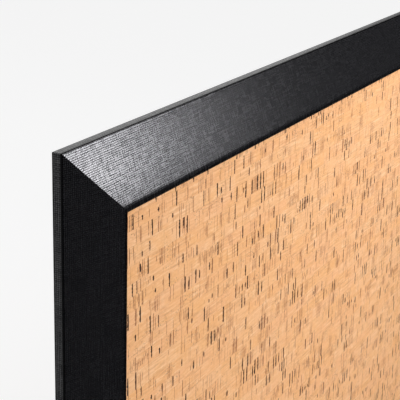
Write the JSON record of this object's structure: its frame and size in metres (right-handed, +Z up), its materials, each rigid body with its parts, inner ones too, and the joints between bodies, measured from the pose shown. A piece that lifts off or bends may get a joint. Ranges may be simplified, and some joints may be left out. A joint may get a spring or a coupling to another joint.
{
  "type": "cork bulletin board",
  "caption": "Wall-hung cork bulletin board in a wide, wedge-section black frame with mitred corners; swinging D-ring hangers and rubber bumpers on the back.",
  "frame": {"origin": "centre of the board on the wall plane, which the backs of the four bumpers touch", "axes": "+X to the right as seen from the front, +Y into the wall, +Z up; the cork faces -Y"},
  "size_m": [0.9, 0.0245, 0.6],
  "materials": {
    "foil_wrapped_moulding": "black linen-embossed foil over fibreboard, satin",
    "cork": "sanded laminated cork, matte, with dark vertical flecks",
    "softboard": "raw fibre softboard, matte",
    "hardboard": "hardboard, smooth brown back",
    "nail_steel": "plain steel strip",
    "point_steel": "stamped bright steel",
    "strap_zinc": "zinc-plated steel, stamped and rolled",
    "ring_zinc": "zinc-plated steel wire",
    "screw_zinc": "zinc-plated steel",
    "bumper_rubber": "matte black rubber"
  },
  "bodies": {
    "board": {"backing_panel": "hardboard", "bottom_rail": "foil_wrapped_moulding", "bumper_bottom_left": "bumper_rubber", "bumper_bottom_right": "bumper_rubber", "bumper_top_left": "bumper_rubber", "bumper_top_right": "bumper_rubber", "cork_sheet": "cork", "left_hanger_screw": "screw_zinc", "left_hanger_strap": "strap_zinc", "left_stile": "foil_wrapped_moulding", "point_bottom_1": "point_steel", "point_bottom_2": "point_steel", "point_bottom_3": "point_steel", "point_bottom_4": "point_steel", "point_left_1": "point_steel", "point_left_2": "point_steel", "point_right_1": "point_steel", "point_right_2": "point_steel", "point_top_1": "point_steel", "point_top_2": "point_steel", "point_top_3": "point_steel", "point_top_4": "point_steel", "right_hanger_screw": "screw_zinc", "right_hanger_strap": "strap_zinc", "right_stile": "foil_wrapped_moulding", "softboard_core": "softboard", "top_rail": "foil_wrapped_moulding", "v_nail_bottom_left_1": "nail_steel", "v_nail_bottom_left_2": "nail_steel", "v_nail_bottom_right_1": "nail_steel", "v_nail_bottom_right_2": "nail_steel", "v_nail_top_left_1": "nail_steel", "v_nail_top_left_2": "nail_steel", "v_nail_top_right_1": "nail_steel", "v_nail_top_right_2": "nail_steel"},
    "left_ring": {"left_hanger_ring": "ring_zinc"},
    "right_ring": {"right_hanger_ring": "ring_zinc"}
  },
  "joints": [
    {"name": "left_ring_swing", "type": "hinge", "parent": "board", "child": "left_ring", "pos_m": [-0.434, -0.0026, 0.17], "axis": [1, 0, 0], "range_deg": [0, 180]},
    {"name": "right_ring_swing", "type": "hinge", "parent": "board", "child": "right_ring", "pos_m": [0.434, -0.0026, 0.17], "axis": [1, 0, 0], "range_deg": [0, 180]}
  ]
}
